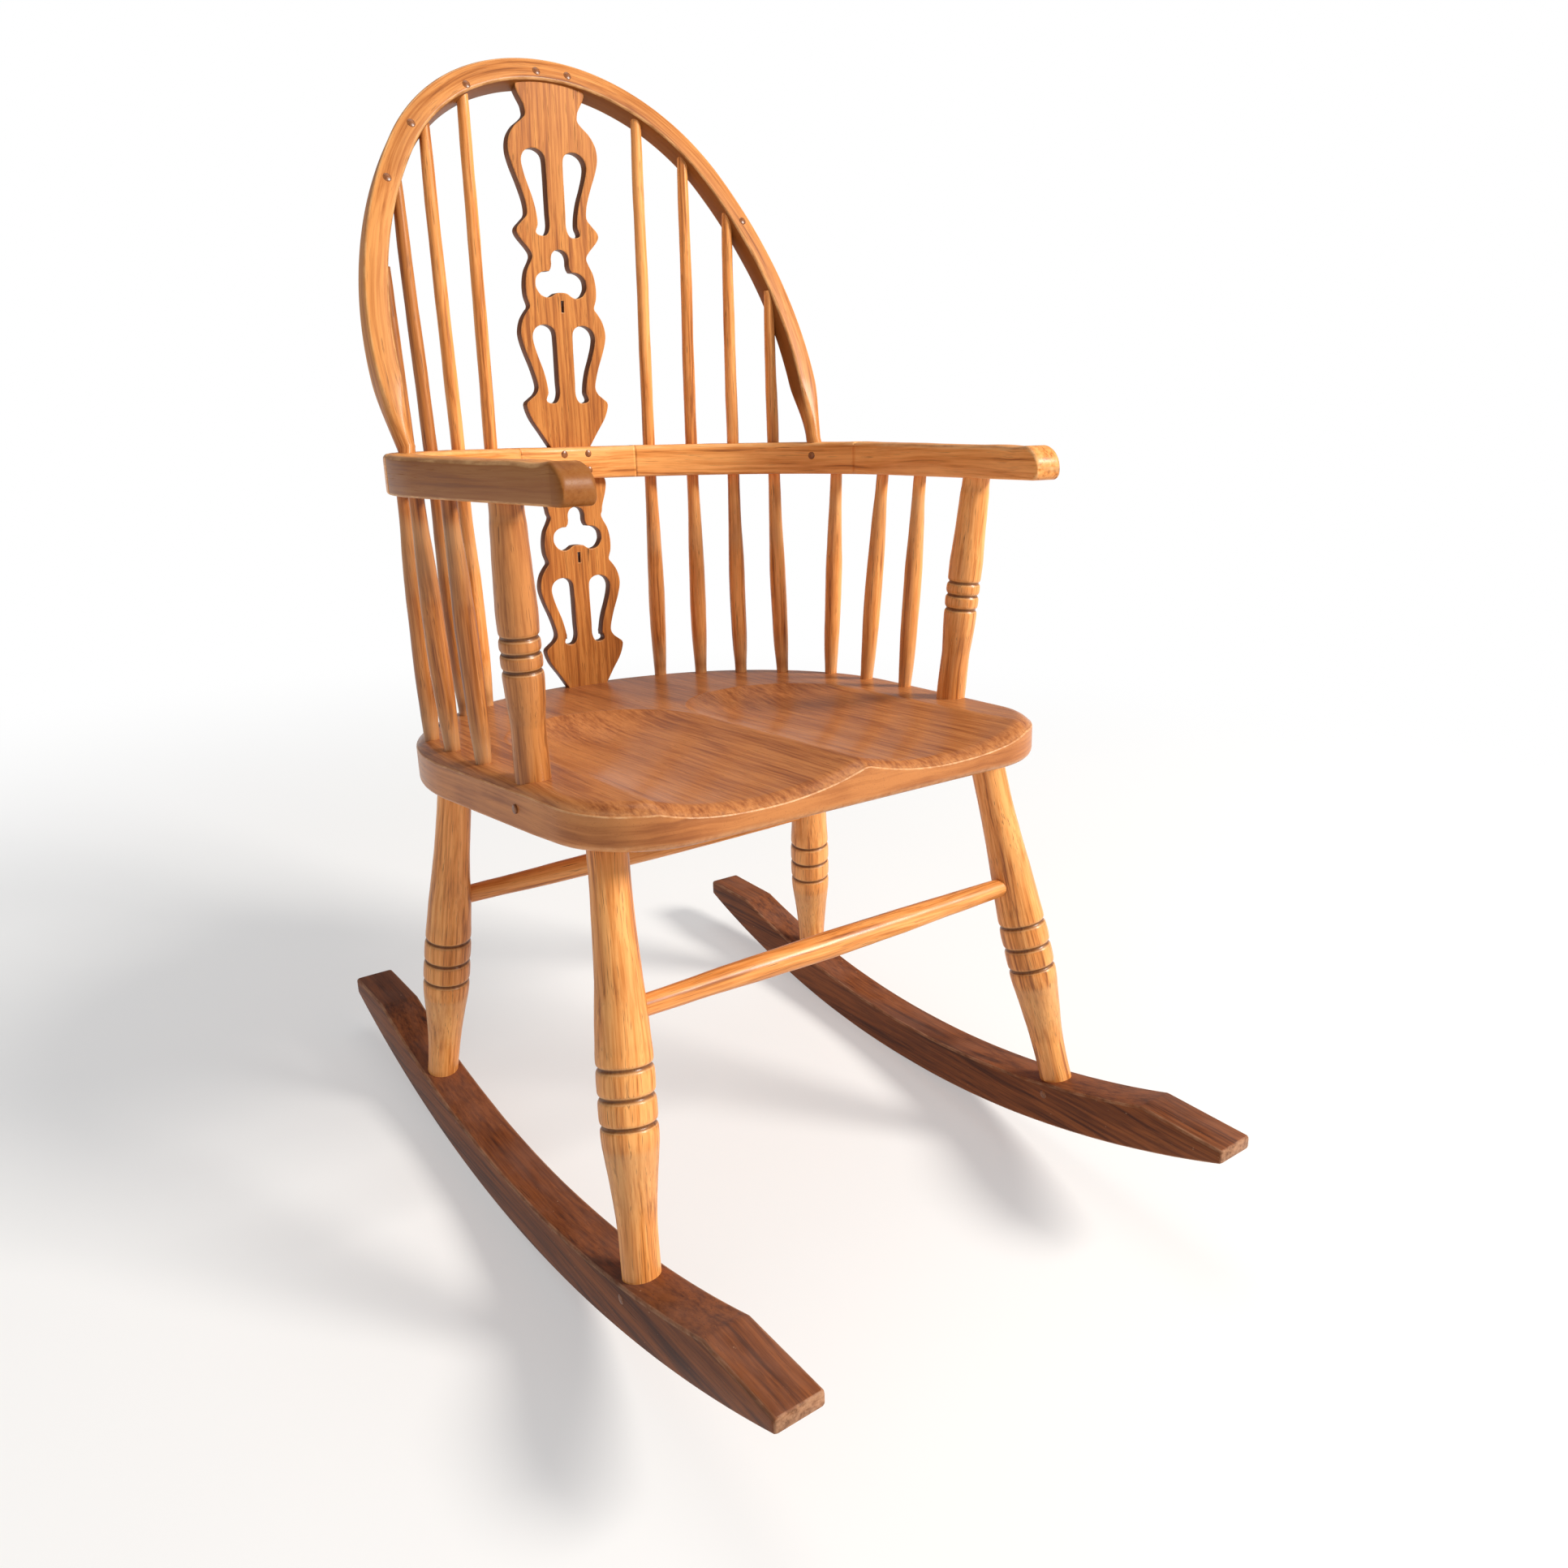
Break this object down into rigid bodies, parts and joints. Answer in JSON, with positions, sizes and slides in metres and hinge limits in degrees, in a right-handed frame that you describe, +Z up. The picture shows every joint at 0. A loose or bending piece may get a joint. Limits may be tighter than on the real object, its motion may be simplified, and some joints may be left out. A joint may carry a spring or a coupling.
{
  "type": "rocking chair",
  "caption": "Bow-back Windsor rocking chair with turned legs, pierced splats, curved arms, a saddled plank seat and sawn rockers.",
  "frame": {"origin": "on the floor under the middle of the bounding box, with the chair resting on its rockers", "axes": "+Z up, -Y the way the sitter faces, +X the sitter's left"},
  "size_m": [0.5438, 0.833, 1.046],
  "materials": {
    "seat_wood": "satin wax polish, honey brown",
    "arm_wood": "satin wax polish, honey brown",
    "splat_wood": "satin wax polish, golden brown",
    "turned_wood": "satin wax polish, golden brown",
    "rocker_wood": "dark brown, worn and dusty on top",
    "peg_wood": "satin, end grain"
  },
  "bodies": {
    "root": {"seat": "seat_wood", "rocker_left": "rocker_wood", "rocker_right": "rocker_wood", "leg_front_left": "turned_wood", "leg_front_right": "turned_wood", "leg_rear_left": "turned_wood", "leg_rear_right": "turned_wood", "front_stretcher": "turned_wood", "rear_stretcher": "turned_wood", "arm_left": "arm_wood", "arm_right": "arm_wood", "arm_rail": "arm_wood", "arm_post_left": "turned_wood", "arm_post_right": "turned_wood", "arm_stick_left_1": "turned_wood", "arm_stick_left_2": "turned_wood", "arm_stick_left_3": "turned_wood", "arm_stick_right_1": "turned_wood", "arm_stick_right_2": "turned_wood", "arm_stick_right_3": "turned_wood", "back_bow": "arm_wood", "back_stick_left_1": "turned_wood", "back_stick_left_2": "turned_wood", "back_stick_left_3": "turned_wood", "back_stick_left_4": "turned_wood", "back_stick_right_1": "turned_wood", "back_stick_right_2": "turned_wood", "back_stick_right_3": "turned_wood", "back_stick_right_4": "turned_wood", "upper_splat": "splat_wood", "lower_splat": "splat_wood", "bow_pegs": "peg_wood", "rail_pegs": "peg_wood", "rocker_pegs": "peg_wood", "leg_pegs": "peg_wood", "seat_pegs": "peg_wood"}
  },
  "joints": []
}
